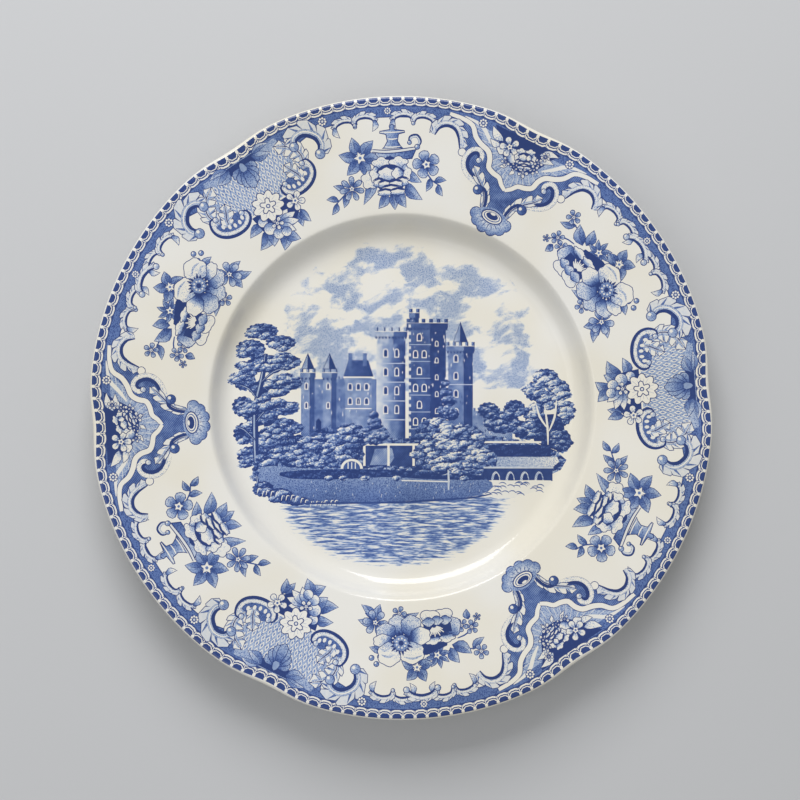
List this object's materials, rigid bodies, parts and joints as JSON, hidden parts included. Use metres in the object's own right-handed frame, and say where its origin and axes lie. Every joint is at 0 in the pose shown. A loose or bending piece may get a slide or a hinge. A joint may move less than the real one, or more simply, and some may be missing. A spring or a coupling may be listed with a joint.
{
  "type": "souvenir plate",
  "caption": "Round glazed earthenware display plate with a broad softly notched rim, a flat well and a foot ring to rest on, printed all over in blue.",
  "frame": {"origin": "centre of the plate, on the surface that its foot ring rests on", "axes": "+Z out of the printed face along the plate's axis, +Y towards the top of the printed scene, +X to its right"},
  "size_m": [0.253, 0.254, 0.023],
  "materials": {
    "printed_glaze": "clear gloss glaze over cream earthenware, printed in cobalt blue on the face"
  },
  "bodies": {
    "root": {"plate_body": "printed_glaze"}
  },
  "joints": []
}
